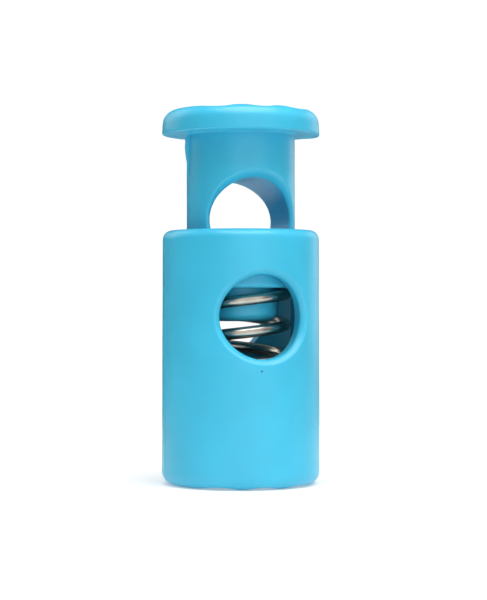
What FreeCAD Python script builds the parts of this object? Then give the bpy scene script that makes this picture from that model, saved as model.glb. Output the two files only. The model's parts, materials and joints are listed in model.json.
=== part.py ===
import FreeCAD, Part
import math
import os

# A spring cord lock: a plunger slides in a blind barrel on a compression spring. Pressed, its cord hole lines
# up with the barrel's and a cord goes through both. Let go, the spring pinches the cord between the holes.
# Millimetres. +Z is up the common axis, the origin is the middle of the barrel's base, and the cord holes run
# along Y. The parts stand as they do at rest, with the plunger out.

# Driving dimensions
OVERALL_HEIGHT = 27.0
BARREL_HEIGHT = 18.3
BARREL_BASE_R = 5.71
BARREL_RIM_R = 5.65
BORE_R = 4.33
FLOOR = 1.4
BASE_ROUND = 0.95
RIM_ROUND = 0.65
COLLAR_R = 4.03
MOUTH_R = 4.55
MOUTH_DEPTH = 1.4
BORE_CORNER_ROUND = 0.3

CORD_HOLE_R = 3.0
BARREL_HOLE_Z = 12.1
PLUNGER_HOLE_Z = 19.0
BARREL_HOLE_ROUND = 0.4
PLUNGER_HOLE_ROUND = 0.25

CAP_R = 5.71
CAP_TOP_R = 5.6
CAP_THICKNESS = 1.78
CAP_TOP_ROUND = 1.05
CAP_LOWER_ROUND = 0.25
STEM_R = 3.91
STEM_FOOT_Z = 14.16
STEM_FOOT_ROUND = 0.3
PEG_R = 2.65
PEG_LENGTH = 2.4
PEG_ROUND = 0.7

# Two lugs on the plunger run in two grooves in the barrel, which keep the holes in line. The lugs snap past the
# collar that guides the stem, through two shallower grooves, and then its underside keeps the plunger in.
LUG_R = 4.6
LUG_WIDTH = 1.8
LUG_BOTTOM_Z = 14.4
LUG_HEIGHT = 1.2
LUG_LEAD_IN = 0.4
GROOVE_R = 4.7
ENTRY_GROOVE_R = 4.4
GROOVE_SIDE_GAP = 0.1
GROOVE_END_GAP = 0.02

# Shallow grip flutes across the base and the top of the cap, side by side along X
FLUTE_PITCH = 2.97
BASE_FLUTE_DEPTH = 0.18
CAP_FLUTE_DEPTH = 0.14
FLUTE_CUTTER_R = 3.8
FLUTE_PLACES = (-1, 0, 1)

WIRE_R = 0.415
COIL_R = 3.2
COIL_TURNS = 6.42
SEAT_TURNS = 0.5
EASE_TURNS = 0.25
COIL_END_ANGLE = 190.0
COIL_END_GAP = 0.02
POINTS_PER_TURN = 24

TRAVEL = PLUNGER_HOLE_Z - BARREL_HOLE_Z
COLLAR_UNDER_Z = LUG_BOTTOM_Z + LUG_HEIGHT + GROOVE_END_GAP
CAP_UNDER_Z = OVERALL_HEIGHT - CAP_THICKNESS
PEG_TIP_Z = STEM_FOOT_Z - PEG_LENGTH
THROUGH = 4 * CAP_R
NEAR = 0.05
EDGE_SAMPLES = 5

Y_AXIS = FreeCAD.Vector(0, 1, 0)
Z_AXIS = FreeCAD.Vector(0, 0, 1)
ORIGIN = FreeCAD.Vector(0, 0, 0)


def turned(outline):
    """The solid that an outline of (radius, height) corners sweeps round Z."""
    corners = [FreeCAD.Vector(r, 0, z) for r, z in outline]
    face = Part.Face(Part.makePolygon(corners + corners[:1]))
    return face.revolve(ORIGIN, Z_AXIS, 360)


def along_y(radius, x, z):
    """A long cylinder of the given radius along Y, through (x, z)."""
    return Part.makeCylinder(radius, THROUGH, FreeCAD.Vector(x, -THROUGH / 2, z), Y_AXIS)


def is_circle_at(edge, radius, z):
    """Whether an edge is a circle round Z of this radius at this height."""
    at = [edge.valueAt(t) for t in (edge.FirstParameter, edge.LastParameter)]
    return all(abs(p.z - z) < NEAR and abs(math.hypot(p.x, p.y) - radius) < NEAR for p in at)


def round_circle(solid, radius, z, size):
    """Rounds the circular edge round Z that has this radius and height."""
    edges = [edge for edge in solid.Edges if is_circle_at(edge, radius, z)]
    return solid.makeFillet(size, edges)


def hole_mouths(solid, hole_z, outside_r):
    """The edges where the cord hole at hole_z breaks through the surface beyond outside_r."""
    mouths = []
    for edge in solid.Edges:
        step = (edge.LastParameter - edge.FirstParameter) / (EDGE_SAMPLES - 1)
        at = [edge.valueAt(edge.FirstParameter + i * step) for i in range(EDGE_SAMPLES)]
        on_hole = all(abs(math.hypot(p.x, p.z - hole_z) - CORD_HOLE_R) < NEAR for p in at)
        if on_hole and all(math.hypot(p.x, p.y) > outside_r for p in at):
            mouths.append(edge)
    return mouths


def cut_cord_hole(solid, hole_z, outside_r, size):
    """Cuts the cord hole through a part and rounds its two outer edges."""
    holed = solid.cut(along_y(CORD_HOLE_R, 0, hole_z))
    return holed.makeFillet(size, hole_mouths(holed, hole_z, outside_r))


def cut_flutes(solid, cutter_z):
    """Cuts the grip flutes across an end face, with the cutters' middles at cutter_z."""
    for place in FLUTE_PLACES:
        solid = solid.cut(along_y(FLUTE_CUTTER_R, place * FLUTE_PITCH, cutter_z))
    return solid


def side_block(radius, width, low, high):
    """What is within radius of Z and within width of the XZ plane, between two heights."""
    disc = Part.makeCylinder(radius, high - low, FreeCAD.Vector(0, 0, low))
    slab = Part.makeBox(2 * radius, width, high - low, FreeCAD.Vector(-radius, -width / 2, low))
    return disc.common(slab)


def lugs():
    """The pair of lugs, on +X and -X, with the lower outer edge sloped to snap past the barrel's rim."""
    top = LUG_BOTTOM_Z + LUG_HEIGHT
    block = side_block(LUG_R, LUG_WIDTH, LUG_BOTTOM_Z, top)
    slope = turned(
        [
            (0, LUG_BOTTOM_Z),
            (LUG_R - LUG_LEAD_IN, LUG_BOTTOM_Z),
            (LUG_R, LUG_BOTTOM_Z + 2 * LUG_LEAD_IN),
            (LUG_R, top),
            (0, top),
        ]
    )
    return block.common(slope)


def grooves():
    """The space of the pair of grooves: deep over the lugs' whole travel, and shallow through the collar."""
    width = LUG_WIDTH + 2 * GROOVE_SIDE_GAP
    travel = side_block(GROOVE_R, width, LUG_BOTTOM_Z - TRAVEL - GROOVE_SIDE_GAP, COLLAR_UNDER_Z)
    entry = side_block(ENTRY_GROOVE_R, width, COLLAR_UNDER_Z, BARREL_HEIGHT)
    return travel.fuse(entry)


def barrel():
    """The blind cup: drafted outside, bore with a collar at its mouth, grooves, flutes and cord hole."""
    solid = turned(
        [
            (0, 0),
            (BARREL_BASE_R, 0),
            (BARREL_RIM_R, BARREL_HEIGHT),
            (MOUTH_R, BARREL_HEIGHT),
            (COLLAR_R, BARREL_HEIGHT - MOUTH_DEPTH),
            (COLLAR_R, COLLAR_UNDER_Z),
            (BORE_R, COLLAR_UNDER_Z),
            (BORE_R, FLOOR),
            (0, FLOOR),
        ]
    )
    solid = round_circle(solid, BARREL_BASE_R, 0, BASE_ROUND)
    solid = round_circle(solid, BARREL_RIM_R, BARREL_HEIGHT, RIM_ROUND)
    solid = round_circle(solid, BORE_R, FLOOR, BORE_CORNER_ROUND)
    solid = cut_flutes(solid, BASE_FLUTE_DEPTH - FLUTE_CUTTER_R)
    solid = cut_cord_hole(solid, BARREL_HOLE_Z, GROOVE_R + NEAR, BARREL_HOLE_ROUND)
    return solid.cut(grooves())


def plunger():
    """The cap, the stem with its cord hole and lugs, and the peg that centres the spring."""
    solid = turned(
        [
            (0, PEG_TIP_Z),
            (PEG_R, PEG_TIP_Z),
            (PEG_R, STEM_FOOT_Z),
            (STEM_R, STEM_FOOT_Z),
            (STEM_R, CAP_UNDER_Z),
            (CAP_R, CAP_UNDER_Z),
            (CAP_TOP_R, OVERALL_HEIGHT),
            (0, OVERALL_HEIGHT),
        ]
    )
    solid = round_circle(solid, PEG_R, PEG_TIP_Z, PEG_ROUND)
    solid = round_circle(solid, STEM_R, STEM_FOOT_Z, STEM_FOOT_ROUND)
    solid = round_circle(solid, CAP_R, CAP_UNDER_Z, CAP_LOWER_ROUND)
    solid = round_circle(solid, CAP_TOP_R, OVERALL_HEIGHT, CAP_TOP_ROUND)
    solid = cut_flutes(solid, OVERALL_HEIGHT - CAP_FLUTE_DEPTH + FLUTE_CUTTER_R)
    solid = cut_cord_hole(solid, PLUNGER_HOLE_Z, STEM_R - NEAR, PLUNGER_HOLE_ROUND)
    return solid.fuse(lugs())


def wire_height(turn, low, high):
    """How high the wire's centre is, this many turns up from its lower end, with both ends closed flat."""
    pitch = (high - low) / (COIL_TURNS - 2 * SEAT_TURNS - EASE_TURNS)
    risen = max(0.0, turn - SEAT_TURNS)
    left = max(0.0, COIL_TURNS - SEAT_TURNS - turn)
    if risen < EASE_TURNS:
        return low + pitch * risen * risen / (2 * EASE_TURNS)
    if left < EASE_TURNS:
        return high - pitch * left * left / (2 * EASE_TURNS)
    return low + pitch * (risen - EASE_TURNS / 2)


def wire_point(turn):
    """A point on the wire's centre line. The coil is right-handed."""
    low = FLOOR + COIL_END_GAP + WIRE_R
    high = STEM_FOOT_Z - COIL_END_GAP - WIRE_R
    angle = math.radians(COIL_END_ANGLE) + 2 * math.pi * (turn - COIL_TURNS)
    x = COIL_R * math.cos(angle)
    y = COIL_R * math.sin(angle)
    return FreeCAD.Vector(x, y, wire_height(turn, low, high))


def spring():
    """The compression spring, from the floor of the bore to the foot of the stem, round the peg."""
    count = round(COIL_TURNS * POINTS_PER_TURN)
    centre_line = Part.BSplineCurve()
    centre_line.interpolate([wire_point(COIL_TURNS * i / count) for i in range(count + 1)])
    start, along = centre_line.value(0), centre_line.tangent(0)[0]
    section = Part.Wire(Part.Circle(start, along, WIRE_R).toShape())
    return Part.Wire(centre_line.toShape()).makePipeShell([section], True, True)


def main():
    os.makedirs("parts", exist_ok=True)
    for part in (barrel, plunger, spring):
        shape = part().removeSplitter()
        shape.exportStep(os.path.join("parts", part.__name__ + ".step"))
        print(part.__name__, "valid" if shape.isValid() else "NOT VALID", round(shape.Volume, 2), "mm3")


main()
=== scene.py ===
import json
import math

import bmesh
import bpy
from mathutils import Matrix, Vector, noise


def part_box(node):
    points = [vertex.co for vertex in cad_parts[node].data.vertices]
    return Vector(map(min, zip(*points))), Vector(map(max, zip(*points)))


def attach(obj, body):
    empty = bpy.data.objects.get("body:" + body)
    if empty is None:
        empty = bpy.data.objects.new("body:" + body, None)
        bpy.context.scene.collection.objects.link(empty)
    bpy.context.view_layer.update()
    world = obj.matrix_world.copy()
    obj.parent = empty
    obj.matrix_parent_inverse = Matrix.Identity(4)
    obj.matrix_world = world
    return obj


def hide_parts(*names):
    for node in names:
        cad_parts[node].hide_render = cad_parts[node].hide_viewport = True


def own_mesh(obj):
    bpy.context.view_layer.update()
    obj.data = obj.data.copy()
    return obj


# A spring cord lock in its real looks: two pale blue mouldings, each with a cord hole, and a steel spring.
# Shapes are worked out in millimetres and made into pieces in metres. +Z is up the barrel, the cord holes run
# along Y, and an angle round Z is measured from the front, -Y, towards +X.

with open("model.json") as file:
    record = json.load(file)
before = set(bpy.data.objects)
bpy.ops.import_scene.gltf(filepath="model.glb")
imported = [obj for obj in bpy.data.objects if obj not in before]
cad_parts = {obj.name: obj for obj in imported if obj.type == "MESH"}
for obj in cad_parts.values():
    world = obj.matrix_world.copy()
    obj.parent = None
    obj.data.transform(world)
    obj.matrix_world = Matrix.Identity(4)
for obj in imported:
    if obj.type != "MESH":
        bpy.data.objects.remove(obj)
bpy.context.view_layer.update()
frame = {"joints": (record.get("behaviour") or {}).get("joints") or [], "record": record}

MM = 0.001


def node_box(node):
    """The lowest and highest corner of a CAD node, in millimetres."""
    low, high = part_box(node)
    return low / MM, high / MM


def press_joint():
    """The joint that the plunger slides on."""
    return next(joint for joint in frame["joints"] if joint["name"] == "press")


def cord_hole_mount():
    """The mount that a cord goes through, at rest in the plunger."""
    return next(mount for mount in frame["record"]["mounts"] if mount["name"] == "cord_hole")


BARREL_HIGH = node_box("barrel")[1]
PLUNGER_LOW, PLUNGER_HIGH = node_box("plunger")
SPRING_HIGH = node_box("spring")[1]

# From the frame
TRAVEL = -press_joint()["range_m"][0] / MM
HOLE_R = cord_hole_mount()["dims"]["r_mm"]
PLUNGER_HOLE_Z = cord_hole_mount()["pos_m"][2] / MM
BARREL_HOLE_Z = PLUNGER_HOLE_Z - TRAVEL
FLOOR_Z = press_joint()["deforming_nodes"][0]["fixed_end_z_m"] / MM
BARREL_BASE_R = BARREL_HIGH.x
BARREL_HEIGHT = BARREL_HIGH.z
CAP_R = PLUNGER_HIGH.x
OVERALL_HEIGHT = PLUNGER_HIGH.z
PEG_TIP_Z = PLUNGER_LOW.z

# The barrel, as in the CAD
BARREL_RIM_R = 5.65
BASE_ROUND = 0.95
RIM_ROUND = 0.65
BORE_R = 4.33
BORE_CORNER_ROUND = 0.3
COLLAR_R = 4.03
COLLAR_UNDER_Z = 15.62
MOUTH_R = 4.55
MOUTH_DEPTH = 1.4
MOUTH_EDGE_ROUND = 0.08
GROOVE_R = 4.7
GROOVE_LOW_Z = 7.4
ENTRY_GROOVE_R = 4.4
GROOVE_HALF_WIDTH = 1.0

# The plunger, as in the CAD
CAP_UNDER_Z = 25.22
CAP_TOP_R = 5.6
CAP_TOP_ROUND = 1.05
STEM_R = 3.91
STEM_FOOT_Z = 14.16
STEM_FOOT_ROUND = 0.3
PEG_R = 2.65
PEG_ROUND = 0.7
ROOT_ROUND = 0.1
LUG_R = 4.6
LUG_FOOT_R = 4.2
LUG_LOW_Z = 14.47
LUG_HIGH_Z = 15.5
LUG_HALF_WIDTH = 0.9
LUG_SLOPE = 0.5

# The cap's lower edge, with a lip of flash that hangs from it near +X and a ragged one near -X
CAP_LOWER_ROUND = 0.12
LIP_R = 5.3
LIP_DROP = 0.11
LIP_ANGLE = 75.0
LIP_HALF_ANGLE = 32.0
RAGGED_DROP = 0.06
RAGGED_WAVES = 3.0

# Rounds where the cord holes break through a surface, flattened towards a chamfer by this share
ROUND_FLATNESS = 0.6
BARREL_HOLE_SIDE_ROUND = 0.3
BARREL_HOLE_CROWN_ROUND = 0.38
BORE_HOLE_ROUND = 0.1
STEM_HOLE_SIDE_ROUND = 0.16
STEM_HOLE_CROWN_ROUND = 0.56

# Grip flutes across the base and the cap
FLUTE_PITCH = 2.97
BASE_FLUTE_DEPTH = 0.18
CAP_FLUTE_DEPTH = 0.14
FLUTE_CUTTER_R = 3.8
FLUTE_SOFTNESS = 0.04

# The spring
WIRE_R = 0.415
COIL_R = SPRING_HIGH.x - WIRE_R
COIL_TURNS = 6.42
SEAT_TURNS = 0.5
EASE_TURNS = 0.25
COIL_END_ANGLE = 190.0
COIL_END_GAP = 0.02

# What moulding leaves: a parting ridge down each side, and a surface never quite true
RIDGE_HEIGHT = 0.035
RIDGE_HALF_ANGLE = 0.9
CAP_RIDGE_DEPTH = 0.3
WOBBLE = 0.012
WOBBLE_SIZE = 4.0

# The fin of flash on the stem under the cap, at -X. It steps out a little way down, then tapers away.
FIN_HALF_ANGLE = 0.7
FIN_ROOT_ANGLE = 1.4
FIN_LENGTH = 3.2
FIN_HEIGHT = 0.16
FIN_STEP_HEIGHT = 0.12
FIN_STEP_DROP = 0.3
FIN_STEP_LENGTH = 0.12
FIN_TAPER_DROP = 1.2
FIN_TAPER = 0.14
FIN_RAGGED_HEIGHT = 0.05
FIN_RAGGED_WAVES = 2.7

# Mesh windows for the cord holes: half their mesh cells across, and half their height
BARREL_HALF_CELLS = 20
OUTSIDE_HALF_HEIGHT = 4.0
BORE_HALF_HEIGHT = 3.4
STEM_HALF_CELLS = 22
STEM_HALF_HEIGHT = 3.74

# Mesh fineness. Each outline starts and ends a little off the axis, at a pole radius, and a fan closes it.
EVEN_COLUMNS = 128
ROUND_STEPS = 10
SMALL_ROUND_STEPS = 4
HOLE_ROUND_STEPS = 9
EDGE_RING_SHARE = 0.96
BASE_POLE_R = 0.2
FLOOR_POLE_R = 0.3
PEG_POLE_R = 0.25
CAP_POLE_R = 0.2
LEAD_TO_ROUND = 0.1
LEAD_TO_SMALL_ROUND = 0.05
WIRE_SIDES = 24
WIRE_STATIONS_PER_TURN = 48
WIRE_END_ROUND = 0.06
SHARP_ANGLE = math.radians(35)

# How close two places are that count as the same, and how far below a wall a point still belongs to it
NEAR = 0.01
UNDER_WALL = 0.2


def column_angles():
    """The angles of the mesh's upright lines: even ones, and more where a ridge, groove or fin needs them."""
    even = [360.0 * i / EVEN_COLUMNS for i in range(EVEN_COLUMNS)]
    groove_in = math.degrees(math.asin(GROOVE_HALF_WIDTH / GROOVE_R))
    groove_out = math.degrees(math.asin(GROOVE_HALF_WIDTH / BORE_R))
    offsets = [RIDGE_HALF_ANGLE / 2, RIDGE_HALF_ANGLE, FIN_ROOT_ANGLE, groove_in, groove_out]
    extra = [side + sign * offset for side in (90.0, 270.0) for offset in offsets for sign in (-1, 1)]
    return sorted(even + extra)


COLUMNS = column_angles()
FRONT_COLUMN = COLUMNS.index(0.0)
BACK_COLUMN = COLUMNS.index(180.0)
COLUMN_STEP = 360.0 / EVEN_COLUMNS


def at(radius, degrees, z):
    """A point from its distance to Z, its angle from the front and its height."""
    angle = math.radians(degrees)
    return Vector((radius * math.sin(angle), -radius * math.cos(angle), z))


def off_side(degrees):
    """How many degrees an angle is from the nearer of +X and -X."""
    return min(abs(degrees - 90.0), abs(degrees - 270.0))


def straight(start, end, count):
    """The stations after start on a straight run to end."""
    shares = [i / count for i in range(1, count + 1)]
    return [(start[0] + (end[0] - start[0]) * s, start[1] + (end[1] - start[1]) * s) for s in shares]


def arc(centre, radius, first, last, count):
    """The stations along an arc in the outline's plane, its angles in degrees from outwards to upwards."""
    angles = [math.radians(first + (last - first) * i / count) for i in range(count + 1)]
    return [(centre[0] + radius * math.cos(a), centre[1] + radius * math.sin(a)) for a in angles]


class Outline:
    """The stations, as (radius, height), that a turned surface goes through, from one end of the axis on."""

    def __init__(self, start):
        self.stations = [start]

    def line(self, end, step):
        """Goes straight on to end, in steps of about this length."""
        length = math.dist(self.stations[-1], end)
        self.stations += straight(self.stations[-1], end, max(1, round(length / step)))

    def rows(self, end, count):
        """Goes straight on to end in this many steps, and gives the number of the station half way."""
        middle = len(self.stations) - 1 + count // 2
        self.stations += straight(self.stations[-1], end, count)
        return middle

    def bend(self, centre, radius, first, last, count=ROUND_STEPS):
        """Goes straight on to the start of an arc and then along it."""
        self.stations += arc(centre, radius, first, last, count)


class Window:
    """A square opening left in a turned surface for a cord hole, and how its points lie round the hole."""

    def __init__(self, middle_row, up, half, side, hole_z, half_height):
        self.middle_row = middle_row
        self.up = up
        self.half = half
        self.side = side
        self.column = FRONT_COLUMN if side > 0 else BACK_COLUMN
        self.hole_z = hole_z
        self.half_height = half_height
        self.count = 8 * half

    def step(self, i):
        """The i-th step round the square, as columns and rows from its middle, anticlockwise from +X."""
        edge, along = divmod(i + self.half, 2 * self.half)
        along -= self.half
        half = self.half
        return ((half, along), (-along, half), (-half, -along), (along, -half))[edge % 4]

    def cells(self):
        """The (row, column) of each mesh cell that is left out."""
        low = self.middle_row - self.half
        left = self.column - self.half
        size = range(2 * self.half)
        return {(low + i, (left + j) % len(COLUMNS)) for i in size for j in size}

    def border(self, rows):
        """The mesh points round the window."""
        steps = [self.step(i) for i in range(self.count)]
        width = len(COLUMNS)
        return [rows[self.middle_row + self.up * v][(self.column + self.side * u) % width] for u, v in steps]

    def angle(self, i):
        """The angle round the hole of its i-th point, from +X upwards."""
        return 2 * math.pi * i / self.count


class Skin:
    """The surface of one solid piece, gathered as points and faces."""

    def __init__(self):
        self.points = []
        self.faces = []

    def loop(self, points):
        """Takes points in and gives their numbers."""
        first = len(self.points)
        self.points.extend(points)
        return list(range(first, len(self.points)))

    def strip(self, one, other):
        """Makes the faces between two closed loops."""
        for i in range(len(one)):
            self.faces.append((one[i - 1], one[i], other[i], other[i - 1]))

    def close(self, loop, tip):
        """Makes the faces between a closed loop and a point."""
        end = self.loop([tip])[0]
        for i in range(len(loop)):
            self.faces.append((loop[i - 1], loop[i], end))

    def turn(self, stations, radius_at, windows):
        """Sweeps the stations round Z, closes both ends on the axis, and leaves the windows open."""
        rows = [self.loop([at(radius_at(r, z, a), a, z) for a in COLUMNS]) for r, z in stations]
        left_out = set().union(*(window.cells() for window in windows))
        width = len(COLUMNS)
        for i in range(len(rows) - 1):
            for j in range(width):
                if (i, j) not in left_out:
                    k = (j + 1) % width
                    self.faces.append((rows[i][j], rows[i][k], rows[i + 1][k], rows[i + 1][j]))
        self.close(rows[0], Vector((0, 0, stations[0][1])))
        self.close(rows[-1], Vector((0, 0, stations[-1][1])))
        return rows

    def mouth(self, border, window, wall_r, outward, round_at, spread):
        """Runs the surface from a window's border to the hole and round into it, and gives the last loop.

        wall_r gives the wall's radius at a height, outward is 1 outside and -1 in a bore, round_at gives the
        size of the round at an angle round the hole, and spread is how many rings lie on the wall.
        """
        rolls = [ball(window, window.angle(i), wall_r, outward, round_at) for i in range(window.count)]
        last = border
        for share in [ring / spread for ring in range(1, spread)] + [EDGE_RING_SHARE]:
            points = []
            for i, roll in enumerate(rolls):
                u, v = window.step(i)
                edge = roll.point(0)
                edge_angle = math.degrees(math.atan2(edge.x, abs(edge.y)))
                angle = u * COLUMN_STEP * (1 - share) + edge_angle * share
                row_z = window.hole_z + v * window.half_height / window.half
                z = row_z * (1 - share) + edge.z * share
                p = at(wall_r(z), angle, z)
                points.append(Vector((p.x, p.y * window.side, p.z)))
            last = self.join(last, points)
        for step in range(HOLE_ROUND_STEPS + 1):
            share = (1 - math.cos(math.pi * step / HOLE_ROUND_STEPS)) / 2
            last = self.join(last, [roll.point(share) for roll in rolls])
        return last

    def join(self, last, points):
        """Adds a loop of points next to the last one."""
        new = self.loop(points)
        self.strip(last, new)
        return new

    def tunnel(self, one, other, count):
        """Makes the hole's wall between the loops of its two mouths."""
        last = one
        for step in range(1, count):
            share = step / count
            last = self.join(last, [self.points[a].lerp(self.points[b], share) for a, b in zip(one, other)])
        self.strip(last, other)


class Roll:
    """A ball that touches a wall and a hole's wall, which rounds the edge between them."""

    def __init__(self, centre, size, to_wall, to_hole):
        self.centre = centre
        self.size = size
        self.to_wall = to_wall
        self.to_hole = to_hole

    def point(self, share):
        """A point on the flattened round, from the wall at 0 to the hole at 1."""
        round_way = self.to_wall.slerp(self.to_hole, share)
        flat_way = self.to_wall.lerp(self.to_hole, share)
        return self.centre + round_way.lerp(flat_way, ROUND_FLATNESS) * self.size


def ball(window, angle, wall_r, outward, round_at):
    """The ball that rounds a hole's edge at this angle round the hole."""
    size = round_at(angle)
    x = (HOLE_R + size) * math.cos(angle)
    z = window.hole_z + (HOLE_R + size) * math.sin(angle)
    reach = wall_r(z) - outward * size
    centre = Vector((x, -window.side * math.sqrt(reach**2 - x**2), z))
    to_wall = Vector((centre.x, centre.y, 0)) * (outward / reach)
    to_hole = Vector((-math.cos(angle), 0, -math.sin(angle)))
    return Roll(centre, size, to_wall, to_hole)


def flute_depth(x, deepest):
    """How far the grip flutes cut in at this x. It is negative on the lands between them."""
    depths = []
    for place in (-1, 0, 1):
        d = x - place * FLUTE_PITCH
        if abs(d) < FLUTE_CUTTER_R:
            depths.append(deepest - FLUTE_CUTTER_R + math.sqrt(FLUTE_CUTTER_R**2 - d**2))
    return max(depths, default=-deepest)


def soft_max(a, b):
    """The larger of two heights, with the change from one to the other eased."""
    return (a + b + math.hypot(a - b, FLUTE_SOFTNESS)) / 2


def push_out(p, height):
    """Moves a point away from Z."""
    reach = math.hypot(p.x, p.y)
    return Vector((p.x * (1 + height / reach), p.y * (1 + height / reach), p.z))


def degrees_off_side(p):
    """How many degrees round Z a point is from the XZ plane."""
    return math.degrees(math.atan2(abs(p.y), abs(p.x)))


def ridge(p, least_r):
    """The parting ridge's height at a point, on surfaces further than least_r from Z."""
    if math.hypot(p.x, p.y) < least_r:
        return 0.0
    return RIDGE_HEIGHT * max(0.0, 1 - degrees_off_side(p) / RIDGE_HALF_ANGLE)


def add_piece(name, mesh, body, node, material):
    """Makes a mesh into a smooth piece that rides on a CAD body and stands for a CAD node."""
    mesh.shade_smooth()
    mesh.set_sharp_from_angle(angle=SHARP_ANGLE)
    mesh.materials.append(material)
    piece = bpy.data.objects.new(name, mesh)
    bpy.context.scene.collection.objects.link(piece)
    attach(piece, body)
    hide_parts(node)
    return piece


def moulding(name, skin, form):
    """The mesh of a skin, with the details that form gives a point, and a surface that isn't quite true."""
    mesh = bpy.data.meshes.new(name)
    mesh.from_pydata([form(p) for p in skin.points], [], skin.faces)
    work = bmesh.new()
    work.from_mesh(mesh)
    bmesh.ops.delete(work, geom=[v for v in work.verts if not v.link_faces], context="VERTS")
    bmesh.ops.recalc_face_normals(work, faces=work.faces)
    for v in work.verts:
        v.co = (v.co + v.normal * WOBBLE * noise.noise(v.co / WOBBLE_SIZE)) * MM
    work.to_mesh(mesh)
    work.free()
    return mesh


# Barrel


def barrel_wall_r(z):
    """The drafted outside's radius at a height."""
    return BARREL_BASE_R + (BARREL_RIM_R - BARREL_BASE_R) * z / BARREL_HEIGHT


def barrel_hole_round(angle):
    """The round of the barrel's hole: small at its sides, larger at its top and bottom."""
    return BARREL_HOLE_SIDE_ROUND + (BARREL_HOLE_CROWN_ROUND - BARREL_HOLE_SIDE_ROUND) * math.sin(angle) ** 2


def bore_wall_r(z):
    """The bore's radius, the same at every height."""
    return BORE_R


def bore_hole_round(angle):
    """The round where the barrel's hole opens into the bore, the same all round."""
    return BORE_HOLE_ROUND


def barrel_radius(r, z, degrees):
    """A station's radius, larger where the lugs' grooves are."""
    groove_half_angle = math.degrees(math.asin(GROOVE_HALF_WIDTH / GROOVE_R))
    if off_side(degrees) > groove_half_angle + NEAR or z < GROOVE_LOW_Z + NEAR:
        return r
    in_bore = z <= COLLAR_UNDER_Z and r > COLLAR_R + NEAR
    return max(r, GROOVE_R if in_bore else ENTRY_GROOVE_R)


def barrel_form(p):
    """Cuts the flutes across the base and raises the parting ridge."""
    p = Vector((p.x, p.y, soft_max(p.z, flute_depth(p.x, BASE_FLUTE_DEPTH))))
    return push_out(p, ridge(p, BARREL_RIM_R - UNDER_WALL)) if p.x or p.y else p


def barrel_outline():
    """The cup's outline, from the middle of its base out, up, over the rim and down the bore to its floor.

    With it come the numbers of its stations at the cord hole's height, outside and in the bore.
    """
    outline = Outline((BASE_POLE_R, 0.0))
    base_round_r = barrel_wall_r(BASE_ROUND) - BASE_ROUND
    outline.line((base_round_r - LEAD_TO_ROUND, 0.0), step=0.25)
    outline.bend((base_round_r, BASE_ROUND), BASE_ROUND, -90, 0)
    low = BARREL_HOLE_Z - OUTSIDE_HALF_HEIGHT
    high = BARREL_HOLE_Z + OUTSIDE_HALF_HEIGHT
    outline.line((barrel_wall_r(low), low), step=0.35)
    outside_row = outline.rows((barrel_wall_r(high), high), 2 * BARREL_HALF_CELLS)
    rim_round_z = BARREL_HEIGHT - RIM_ROUND
    outline.line((barrel_wall_r(rim_round_z), rim_round_z - LEAD_TO_ROUND), step=0.3)
    outline.bend((barrel_wall_r(rim_round_z) - RIM_ROUND, rim_round_z), RIM_ROUND, 0, 90)
    mouth_edge = (MOUTH_R + MOUTH_EDGE_ROUND, BARREL_HEIGHT - MOUTH_EDGE_ROUND)
    outline.bend(mouth_edge, MOUTH_EDGE_ROUND, 90, 160, SMALL_ROUND_STEPS)
    outline.line((COLLAR_R, BARREL_HEIGHT - MOUTH_DEPTH), step=0.25)
    outline.line((COLLAR_R, COLLAR_UNDER_Z), step=0.4)
    outline.line((BORE_R, COLLAR_UNDER_Z), step=0.3)
    outline.line((BORE_R, BARREL_HOLE_Z + BORE_HALF_HEIGHT), step=0.2)
    bore_row = outline.rows((BORE_R, BARREL_HOLE_Z - BORE_HALF_HEIGHT), 2 * BARREL_HALF_CELLS)
    outline.line((BORE_R, GROOVE_LOW_Z + 2 * NEAR), step=0.4)
    outline.line((BORE_R, GROOVE_LOW_Z), step=2 * NEAR)
    outline.line((BORE_R, FLOOR_Z + BORE_CORNER_ROUND + LEAD_TO_ROUND), step=0.4)
    corner = (BORE_R - BORE_CORNER_ROUND, FLOOR_Z + BORE_CORNER_ROUND)
    outline.bend(corner, BORE_CORNER_ROUND, 0, -90, SMALL_ROUND_STEPS)
    outline.line((FLOOR_POLE_R, FLOOR_Z), step=0.4)
    return outline.stations, outside_row, bore_row


def barrel(material):
    """The blind cup, with its cord hole through both walls."""
    stations, outside_row, bore_row = barrel_outline()
    skin = Skin()
    pairs = []
    for side in (1, -1):
        outer = Window(outside_row, 1, BARREL_HALF_CELLS, side, BARREL_HOLE_Z, OUTSIDE_HALF_HEIGHT)
        inner = Window(bore_row, -1, BARREL_HALF_CELLS, side, BARREL_HOLE_Z, BORE_HALF_HEIGHT)
        pairs.append((outer, inner))
    rows = skin.turn(stations, barrel_radius, [window for pair in pairs for window in pair])
    for outer, inner in pairs:
        outside = skin.mouth(outer.border(rows), outer, barrel_wall_r, 1, barrel_hole_round, spread=6)
        inside = skin.mouth(inner.border(rows), inner, bore_wall_r, -1, bore_hole_round, spread=5)
        skin.tunnel(outside, inside, count=5)
    mesh = moulding("barrel_shell", skin, barrel_form)
    add_piece("barrel_shell", mesh, "barrel", "barrel", material)


# Plunger


def stem_wall_r(z):
    """The stem's radius, the same at every height."""
    return STEM_R


def stem_hole_round(angle):
    """The round of the plunger's hole: small at its sides, larger at its top and bottom."""
    return STEM_HOLE_SIDE_ROUND + (STEM_HOLE_CROWN_ROUND - STEM_HOLE_SIDE_ROUND) * math.sin(angle) ** 2


def plunger_radius(r, z, degrees):
    """A station's radius, larger where the lugs are."""
    lug_half_angle = math.degrees(math.asin(LUG_HALF_WIDTH / LUG_R))
    if off_side(degrees) > lug_half_angle + NEAR or not LUG_LOW_Z <= z <= LUG_HIGH_Z:
        return r
    return max(r, min(LUG_R, LUG_FOOT_R + (z - LUG_LOW_Z) * LUG_SLOPE))


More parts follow.
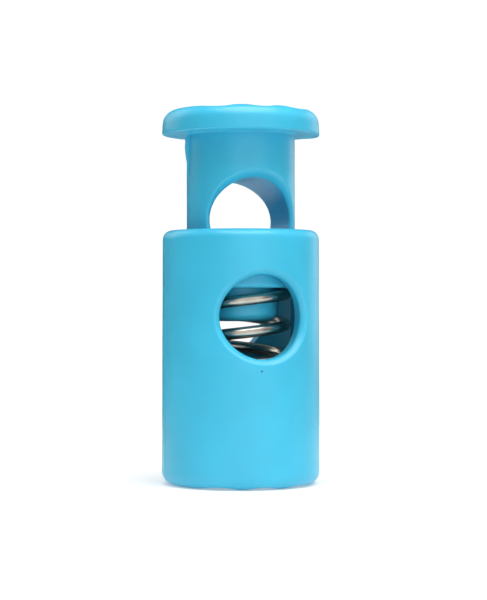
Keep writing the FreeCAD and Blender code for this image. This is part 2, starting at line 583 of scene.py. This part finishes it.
def fin_height(z):
    """How far the fin of flash under the cap stands out from the stem at a height."""
    drop = CAP_UNDER_Z - z
    if not 0 <= drop <= FIN_LENGTH:
        return 0.0
    step = FIN_STEP_HEIGHT * min(1.0, max(0.0, (drop - FIN_STEP_DROP) / FIN_STEP_LENGTH))
    taper = FIN_TAPER * max(0.0, drop - FIN_TAPER_DROP)
    ragged = FIN_RAGGED_HEIGHT * noise.noise(Vector((0.0, 0.0, FIN_RAGGED_WAVES * z)))
    return max(0.0, FIN_HEIGHT + step - taper + ragged)


def lip_drop(p):
    """How far the flash under the cap's edge hangs down at a point: the lip, and the ragged edge opposite."""
    angle = math.degrees(math.atan2(p.x, -p.y))
    lip = LIP_DROP * max(0.0, 1 - ((angle - LIP_ANGLE) / LIP_HALF_ANGLE) ** 2)
    wave = abs(noise.noise(Vector((0.0, RAGGED_WAVES * p.y, 0.5))))
    return lip + RAGGED_DROP * wave * max(0.0, -p.x / CAP_R)


def plunger_form(p):
    """Cuts the flutes across the cap, raises the parting ridge and draws out the flash."""
    p.z = OVERALL_HEIGHT - soft_max(OVERALL_HEIGHT - p.z, flute_depth(p.x, CAP_FLUTE_DEPTH))
    reach = math.hypot(p.x, p.y)
    if reach < STEM_R - UNDER_WALL:
        return p
    if reach > LIP_R and p.z < CAP_UNDER_Z + CAP_LOWER_ROUND / 2:
        p.z -= lip_drop(p) * min(1.0, (reach - LIP_R) / (CAP_R - CAP_LOWER_ROUND - LIP_R))
    on_stem = reach < LUG_R and LUG_HIGH_Z < p.z < CAP_UNDER_Z
    on_cap_side = reach > CAP_R - CAP_RIDGE_DEPTH
    height = ridge(p, STEM_R - UNDER_WALL) if on_stem or on_cap_side else 0.0
    if on_stem and p.x < 0:
        flank = (FIN_ROOT_ANGLE - degrees_off_side(p)) / (FIN_ROOT_ANGLE - FIN_HALF_ANGLE)
        height += fin_height(p.z) * min(1.0, max(0.0, flank))
    return push_out(p, height)


def plunger_outline():
    """The plunger's outline, from the peg's tip out and up to the middle of the cap's top.

    With it comes the number of its station at the cord hole's height.
    """
    outline = Outline((PEG_POLE_R, PEG_TIP_Z))
    outline.line((PEG_R - PEG_ROUND - LEAD_TO_ROUND, PEG_TIP_Z), step=0.4)
    outline.bend((PEG_R - PEG_ROUND, PEG_TIP_Z + PEG_ROUND), PEG_ROUND, -90, 0)
    outline.line((PEG_R, STEM_FOOT_Z - ROOT_ROUND), step=0.3)
    outline.bend((PEG_R + ROOT_ROUND, STEM_FOOT_Z - ROOT_ROUND), ROOT_ROUND, 180, 90, SMALL_ROUND_STEPS)
    outline.line((STEM_R - STEM_FOOT_ROUND - LEAD_TO_SMALL_ROUND, STEM_FOOT_Z), step=0.3)
    outline.bend((STEM_R - STEM_FOOT_ROUND, STEM_FOOT_Z + STEM_FOOT_ROUND), STEM_FOOT_ROUND, -90, 0, 6)
    outline.line((STEM_R, LUG_LOW_Z + NEAR), step=2 * NEAR)
    outline.line((STEM_R, PLUNGER_HOLE_Z - STEM_HALF_HEIGHT), step=0.2)
    hole_row = outline.rows((STEM_R, PLUNGER_HOLE_Z + STEM_HALF_HEIGHT), 2 * STEM_HALF_CELLS)
    outline.line((STEM_R, CAP_UNDER_Z - ROOT_ROUND - 2 * NEAR), step=0.12)
    outline.bend((STEM_R + ROOT_ROUND, CAP_UNDER_Z - ROOT_ROUND), ROOT_ROUND, 180, 90, SMALL_ROUND_STEPS)
    lower_centre = (CAP_R - CAP_LOWER_ROUND, CAP_UNDER_Z + CAP_LOWER_ROUND)
    outline.line((LIP_R - LEAD_TO_SMALL_ROUND, CAP_UNDER_Z), step=0.25)
    outline.line((lower_centre[0] - LEAD_TO_SMALL_ROUND, CAP_UNDER_Z), step=0.05)
    outline.bend(lower_centre, CAP_LOWER_ROUND, -90, 0, 6)
    draft = math.atan((CAP_R - CAP_TOP_R) / (OVERALL_HEIGHT - CAP_UNDER_Z))
    upper_z = OVERALL_HEIGHT - CAP_TOP_ROUND
    side_r = CAP_R - math.tan(draft) * (upper_z - CAP_UNDER_Z)
    outline.line((side_r + NEAR, upper_z - LEAD_TO_ROUND), step=0.15)
    upper_centre = (side_r - CAP_TOP_ROUND / math.cos(draft), upper_z)
    outline.bend(upper_centre, CAP_TOP_ROUND, math.degrees(draft), 90)
    outline.line((CAP_POLE_R, OVERALL_HEIGHT), step=0.25)
    return outline.stations, hole_row


def plunger(material):
    """The cap, the stem with its cord hole and lugs, and the peg, in one moulding."""
    stations, hole_row = plunger_outline()
    skin = Skin()
    front = Window(hole_row, 1, STEM_HALF_CELLS, 1, PLUNGER_HOLE_Z, STEM_HALF_HEIGHT)
    back = Window(hole_row, 1, STEM_HALF_CELLS, -1, PLUNGER_HOLE_Z, STEM_HALF_HEIGHT)
    rows = skin.turn(stations, plunger_radius, [front, back])
    mouths = [skin.mouth(w.border(rows), w, stem_wall_r, 1, stem_hole_round, spread=4) for w in (front, back)]
    skin.tunnel(*mouths, count=16)
    mesh = moulding("plunger_body", skin, plunger_form)
    add_piece("plunger_body", mesh, "plunger", "plunger", material)


# Spring


def wire_height(turn):
    """How high the wire's centre is, this many turns up from its lower end, with both ends closed flat."""
    low = FLOOR_Z + COIL_END_GAP + WIRE_R
    high = STEM_FOOT_Z - COIL_END_GAP - WIRE_R
    pitch = (high - low) / (COIL_TURNS - 2 * SEAT_TURNS - EASE_TURNS)
    risen = max(0.0, turn - SEAT_TURNS)
    left = max(0.0, COIL_TURNS - SEAT_TURNS - turn)
    if risen < EASE_TURNS:
        return low + pitch * risen * risen / (2 * EASE_TURNS)
    if left < EASE_TURNS:
        return high - pitch * left * left / (2 * EASE_TURNS)
    return low + pitch * (risen - EASE_TURNS / 2)


def wire_point(turn):
    """A point on the wire's centre line. The coil is right-handed."""
    angle = math.radians(COIL_END_ANGLE) + 2 * math.pi * (turn - COIL_TURNS)
    return Vector((COIL_R * math.cos(angle), COIL_R * math.sin(angle), wire_height(turn)))


def wire_stations():
    """How many turns up each ring of the wire is, and its radius. Both cut ends are blunted."""
    steps = round(COIL_TURNS * WIRE_STATIONS_PER_TURN)
    end_r = WIRE_R - WIRE_END_ROUND
    blunted = WIRE_END_ROUND / (2 * math.pi * COIL_R)
    turns = [blunted] + [COIL_TURNS * i / steps for i in range(1, steps)] + [COIL_TURNS - blunted]
    return [(0.0, end_r)] + [(turn, WIRE_R) for turn in turns] + [(COIL_TURNS, end_r)]


def wire_ring(turn, radius):
    """The points round the wire this many turns up, in metres."""
    nudge = 0.001
    middle = wire_point(turn)
    along = (wire_point(turn + nudge) - wire_point(turn - nudge)).normalized()
    out = Vector((middle.x, middle.y, 0)).normalized()
    out = (out - along * out.dot(along)).normalized()
    up = along.cross(out)
    angles = [2 * math.pi * i / WIRE_SIDES for i in range(WIRE_SIDES)]
    return [(middle + (out * math.cos(a) + up * math.sin(a)) * radius) * MM for a in angles]


def spring(material):
    """The wire's surface, with its places along and round the wire as a UV map for the streaks."""
    stations = wire_stations()
    vertices = [point for turn, radius in stations for point in wire_ring(turn, radius)]
    faces = []
    places = []
    for i in range(len(stations) - 1):
        here = i * WIRE_SIDES
        above = here + WIRE_SIDES
        lengthwise = [stations[i][0], stations[i][0], stations[i + 1][0], stations[i + 1][0]]
        for j in range(WIRE_SIDES):
            k = (j + 1) % WIRE_SIDES
            faces.append((here + j, here + k, above + k, above + j))
            round_wire = [j / WIRE_SIDES, (j + 1) / WIRE_SIDES, (j + 1) / WIRE_SIDES, j / WIRE_SIDES]
            places.extend(zip(lengthwise, round_wire))
    for first in (0, len(vertices) - WIRE_SIDES):
        faces.append(tuple(range(first, first + WIRE_SIDES)))
        places.extend([(0.0, 0.5)] * WIRE_SIDES)
    mesh = bpy.data.meshes.new("spring_coil")
    mesh.from_pydata(vertices, [], faces)
    places_on_wire = mesh.uv_layers.new(name="wire")
    for corner, place in zip(places_on_wire.data, places):
        corner.uv = place
    work = bmesh.new()
    work.from_mesh(mesh)
    bmesh.ops.recalc_face_normals(work, faces=work.faces)
    work.to_mesh(mesh)
    work.free()
    return add_piece("spring_coil", mesh, "barrel", "spring", material)


def shorten_with_press(piece):
    """Gives the spring its own copy of its mesh. The real spring shortens towards the bore's floor as the
    plunger goes down, but nothing here makes this one do so.
    """
    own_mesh(piece)


# Materials

PLASTIC_BLUE = (0.046, 0.505, 0.735)
DRIFT_DARKEST = 0.93
DRIFT_LIGHTEST = 1.05
FLECK_COLOUR = (0.01, 0.05, 0.08, 1.0)
STEEL_DARK = (0.4, 0.37, 0.32, 1.0)
STEEL_LIGHT = (0.74, 0.7, 0.62, 1.0)
STEEL_STAIN = (0.2, 0.17, 0.14, 1.0)
FLOOR_WHITE = (0.7, 0.7, 0.7, 1.0)
FLOOR_GLOW = 0.3

# Waves to a metre
DRIFT_WAVES = 180.0
GRAIN_WAVES = 2600.0
STAIN_WAVES = 600.0

# The one dark fleck, under the barrel's hole: its place, its radius and how dark it is
BARREL_FLECKS = [((-0.35, -5.66, 8.32), 0.11, 0.75)]

# Sockets of a Mix node that mixes colours
MIX_SHARE = 0
MIX_ONE = 6
MIX_OTHER = 7
MIX_RESULT = 2


class Nodes:
    """A material's node tree, built up node by node."""

    def __init__(self, name):
        self.material = bpy.data.materials.new(name)
        self.material.use_nodes = True
        self.tree = self.material.node_tree
        self.shader = self.tree.nodes["Principled BSDF"]

    def add(self, kind, settings=(), **inputs):
        """Adds a node, with its properties from settings, and values or sockets for its inputs."""
        node = self.tree.nodes.new("ShaderNode" + kind)
        for key, value in dict(settings).items():
            setattr(node, key, value)
        for key, value in inputs.items():
            self.feed(node, key.replace("_", " "), value)
        return node

    def feed(self, node, key, value):
        """Gives a node's input a value or links a socket to it."""
        if isinstance(value, bpy.types.NodeSocket):
            self.tree.links.new(value, node.inputs[key])
        else:
            node.inputs[key].default_value = value

    def spots(self, scale, detail, vector):
        """Noise over the surface, with this many waves to a unit of vector."""
        node = self.add("TexNoise", Scale=scale, Detail=detail, Roughness=0.55)
        self.tree.links.new(vector, node.inputs["Vector"])
        return node.outputs["Fac"]

    def between(self, share, low, high):
        """A number between low and high, as share goes over the middle of a noise's range."""
        node = self.add("MapRange", Value=share)
        for key, value in {"From Min": 0.3, "From Max": 0.7, "To Min": low, "To Max": high}.items():
            node.inputs[key].default_value = value
        return node.outputs["Result"]

    def blend(self, share, one, other):
        """A colour between two, each a colour or a socket."""
        node = self.add("Mix", {"data_type": "RGBA"})
        for index, value in ((MIX_SHARE, share), (MIX_ONE, one), (MIX_OTHER, other)):
            if isinstance(value, bpy.types.NodeSocket):
                self.tree.links.new(value, node.inputs[index])
            else:
                node.inputs[index].default_value = value
        return node.outputs[MIX_RESULT]


def moulded_plastic(name, colour, flecks):
    """Semi-gloss moulded plastic: a slow drift of colour, a fine grain, and dark flecks."""
    nodes = Nodes(name)
    place = nodes.add("TexCoord").outputs["Object"]
    drift = nodes.spots(DRIFT_WAVES, 2.0, place)
    grain = nodes.spots(GRAIN_WAVES, 3.0, place)
    dark = tuple(c * DRIFT_DARKEST for c in colour) + (1.0,)
    light = tuple(c * DRIFT_LIGHTEST for c in colour) + (1.0,)
    tint = nodes.blend(nodes.between(drift, 0.0, 1.0), dark, light)
    for spot, size, strength in flecks:
        distance = nodes.add("VectorMath", {"operation": "DISTANCE"})
        nodes.tree.links.new(place, distance.inputs[0])
        distance.inputs[1].default_value = [c * MM for c in spot]
        mask = nodes.add("MapRange", Value=distance.outputs["Value"])
        limits = {"From Min": 0.5 * size * MM, "From Max": size * MM, "To Min": strength, "To Max": 0.0}
        for key, value in limits.items():
            mask.inputs[key].default_value = value
        tint = nodes.blend(mask.outputs["Result"], tint, FLECK_COLOUR)
    bump = nodes.add("Bump", Strength=0.25, Distance=0.02 * MM, Height=grain)
    shader = nodes.shader
    nodes.feed(shader, "Base Color", tint)
    nodes.feed(shader, "Roughness", nodes.between(grain, 0.3, 0.4))
    nodes.feed(shader, "Normal", bump.outputs["Normal"])
    shader.inputs["IOR"].default_value = 1.5
    shader.inputs["Subsurface Weight"].default_value = 0.15
    shader.inputs["Subsurface Radius"].default_value = (0.3, 0.8, 1.0)
    shader.inputs["Subsurface Scale"].default_value = 0.6 * MM
    return nodes.material


def spring_steel():
    """Bright drawn wire: fine streaks along it, a little uneven darkening, and a warm grey shine."""
    nodes = Nodes("spring_steel")
    place = nodes.add("UVMap", {"uv_map": "wire"}).outputs["UV"]
    stretch = nodes.add("Mapping", Vector=place)
    stretch.inputs["Scale"].default_value = (2.0, 26.0, 1.0)
    streaks = nodes.spots(3.0, 4.0, stretch.outputs["Vector"])
    stains = nodes.spots(STAIN_WAVES, 3.0, nodes.add("TexCoord").outputs["Object"])
    metal = nodes.blend(nodes.between(streaks, 0.0, 1.0), STEEL_DARK, STEEL_LIGHT)
    metal = nodes.blend(nodes.between(stains, 0.0, 0.5), metal, STEEL_STAIN)
    bump = nodes.add("Bump", Strength=0.4, Distance=0.01 * MM, Height=streaks)
    nodes.feed(nodes.shader, "Base Color", metal)
    nodes.feed(nodes.shader, "Roughness", nodes.between(streaks, 0.16, 0.3))
    nodes.feed(nodes.shader, "Normal", bump.outputs["Normal"])
    nodes.shader.inputs["Metallic"].default_value = 1.0
    return nodes.material


def pale_floor():
    """A plain white sheet that glows a little, so that its shadows stay faint."""
    nodes = Nodes("pale_floor")
    nodes.shader.inputs["Base Color"].default_value = FLOOR_WHITE
    nodes.shader.inputs["Roughness"].default_value = 0.9
    nodes.shader.inputs["Emission Color"].default_value = (1.0, 1.0, 1.0, 1.0)
    nodes.shader.inputs["Emission Strength"].default_value = FLOOR_GLOW
    return nodes.material


# Studio, in metres, watts and degrees

FLOOR_REACH = 0.06
FLOOR_SIDES = 96

WORLD_SEEN = 1.05
WORLD_FRONT_LIGHT = 0.28
WORLD_BACK_LIGHT = 0.1

# Each soft light's place, width and power
SOFTBOXES = {
    "front_softbox": ((0.0, -0.35, 0.07), 0.45, 0.48),
    "right_softbox": ((0.25, -0.1, 0.25), 0.25, 0.1),
    "top_softbox": ((0.0, -0.09, 0.32), 0.3, 1.35),
    "right_edge_softbox": ((0.3, 0.18, 0.1), 0.22, 0.19),
    "back_softbox": ((-0.18, 0.24, 0.18), 0.25, 0.3),
}

# The camera is level. Its azimuth is from the front towards +X, and its lens is in millimetres.
CAMERA_AZIMUTH = -18.6
CAMERA_DISTANCE = 0.1333
CAMERA_HEIGHT = 0.013286
CAMERA_TO_RIGHT = 0.000199
CAMERA_LENS = 110.4


def lay_floor():
    """The round white sheet that the lock stands on."""
    angles = [2 * math.pi * i / FLOOR_SIDES for i in range(FLOOR_SIDES)]
    edge = [(FLOOR_REACH * math.cos(a), FLOOR_REACH * math.sin(a), 0) for a in angles]
    mesh = bpy.data.meshes.new("floor")
    mesh.from_pydata(edge, [], [tuple(range(FLOOR_SIDES))])
    mesh.materials.append(pale_floor())
    floor = bpy.data.objects.new("floor", mesh)
    bpy.context.scene.collection.objects.link(floor)


def light_world():
    """White all round to the camera. As light it is softer, and dimmer from behind than from the front."""
    world = bpy.data.worlds.new("studio")
    world.use_nodes = True
    tree = world.node_tree
    background = tree.nodes["Background"]
    background.inputs["Color"].default_value = (1.0, 1.0, 1.0, 1.0)
    way = tree.nodes.new("ShaderNodeTexCoord")
    split = tree.nodes.new("ShaderNodeSeparateXYZ")
    light = tree.nodes.new("ShaderNodeMapRange")
    for key, value in {"From Min": -0.5, "From Max": 0.5}.items():
        light.inputs[key].default_value = value
    light.inputs["To Min"].default_value = WORLD_FRONT_LIGHT
    light.inputs["To Max"].default_value = WORLD_BACK_LIGHT
    path = tree.nodes.new("ShaderNodeLightPath")
    strength = tree.nodes.new("ShaderNodeMapRange")
    strength.inputs["To Max"].default_value = WORLD_SEEN
    tree.links.new(way.outputs["Generated"], split.inputs["Vector"])
    tree.links.new(split.outputs["Y"], light.inputs["Value"])
    tree.links.new(light.outputs["Result"], strength.inputs["To Min"])
    tree.links.new(path.outputs["Is Camera Ray"], strength.inputs["Value"])
    tree.links.new(strength.outputs["Result"], background.inputs["Strength"])
    bpy.context.scene.world = world


def softbox(name, place, size, watts):
    """A square soft light at place, turned to the middle of the object."""
    lamp = bpy.data.lights.new(name, "AREA")
    lamp.shape = "SQUARE"
    lamp.size = size
    lamp.energy = watts
    light = bpy.data.objects.new(name, lamp)
    bpy.context.scene.collection.objects.link(light)
    light.location = place
    middle = Vector((0, 0, OVERALL_HEIGHT * MM / 2))
    light.rotation_mode = "QUATERNION"
    light.rotation_quaternion = (middle - Vector(place)).to_track_quat("-Z", "Y")
    light.visible_camera = False


def place_camera():
    """A level camera in front, a little to the left of the cord holes' line."""
    data = bpy.data.cameras.new("camera")
    data.lens = CAMERA_LENS
    data.sensor_width = 36.0
    data.clip_start = 0.01
    camera = bpy.data.objects.new("camera", data)
    bpy.context.scene.collection.objects.link(camera)
    azimuth = math.radians(CAMERA_AZIMUTH)
    back = Vector((math.sin(azimuth), -math.cos(azimuth), 0))
    right = Vector((math.cos(azimuth), math.sin(azimuth), 0))
    camera.location = back * CAMERA_DISTANCE + right * CAMERA_TO_RIGHT + Vector((0, 0, CAMERA_HEIGHT))
    camera.rotation_mode = "QUATERNION"
    camera.rotation_quaternion = (-back).to_track_quat("-Z", "Y")
    bpy.context.scene.camera = camera


place_camera()
barrel(moulded_plastic("barrel_moulding", PLASTIC_BLUE, BARREL_FLECKS))
plunger(moulded_plastic("plunger_moulding", PLASTIC_BLUE, []))
shorten_with_press(spring(spring_steel()))
lay_floor()
light_world()
for name, (place, size, watts) in SOFTBOXES.items():
    softbox(name, place, size, watts)
bpy.context.scene.view_settings.view_transform = "Standard"
